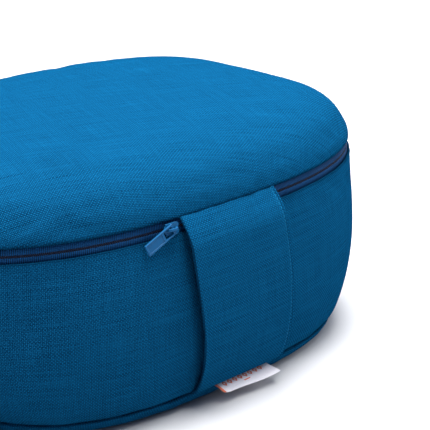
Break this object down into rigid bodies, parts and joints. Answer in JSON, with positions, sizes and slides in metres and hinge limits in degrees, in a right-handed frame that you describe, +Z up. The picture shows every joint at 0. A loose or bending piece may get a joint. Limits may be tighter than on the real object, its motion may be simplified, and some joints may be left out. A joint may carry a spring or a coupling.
{
  "type": "floor cushion",
  "caption": "Plump oval floor cushion with a domed cloth cover that unzips just under its top seam, a wide cloth carry strap on one long side and a loose husk-filled inner bag.",
  "frame": {"origin": "centre of the cushion's footprint on the floor, halfway along its length and its width, strap and label included", "axes": "+X along the oval's long side, +Y away from the carry strap, +Z up"},
  "size_m": [0.4206, 0.319, 0.184],
  "materials": {
    "cover_cloth": "coarse plain-woven cotton canvas, matt, teal blue",
    "strap_cloth": "the same canvas, folded double and topstitched",
    "zip_tape": "finely ribbed woven polyester tape, navy",
    "zip_coil": "moulded polyester coil, satin, navy",
    "zip_puller": "die-cast metal with worn satin blue paint",
    "label_cloth": "woven satin label, off-white",
    "liner_cotton": "unbleached plain cotton",
    "husk": "loose dry grain husks"
  },
  "bodies": {
    "cushion": {"top_panel": "cover_cloth", "side_panel": "cover_cloth", "bottom_panel": "cover_cloth", "zip_end_patch": "cover_cloth", "upper_zip_tape": "zip_tape", "lower_zip_tape": "zip_tape", "upper_zip_coil": "zip_coil", "lower_zip_coil": "zip_coil", "carry_strap": "strap_cloth", "woven_label": "label_cloth", "care_label": "label_cloth", "liner_top": "liner_cotton", "liner_side": "liner_cotton", "liner_bottom": "liner_cotton", "husk_filling": "husk"},
    "slider": {"zip_slider": "zip_puller"},
    "tab": {"pull_tab": "zip_puller"}
  },
  "joints": [
    {"name": "zip_travel", "type": "hinge", "parent": "cushion", "child": "slider", "pos_m": [-0.04075, 0.11729, 0.1372], "axis": [0, 0, -1], "range_deg": [0, 17.9]},
    {"name": "tab_lift", "type": "hinge", "parent": "slider", "child": "tab", "pos_m": [-0.05617, -0.14101, 0.13766], "axis": [-0.365, 0.1714, 0.9151], "range_deg": [0, 112]}
  ]
}
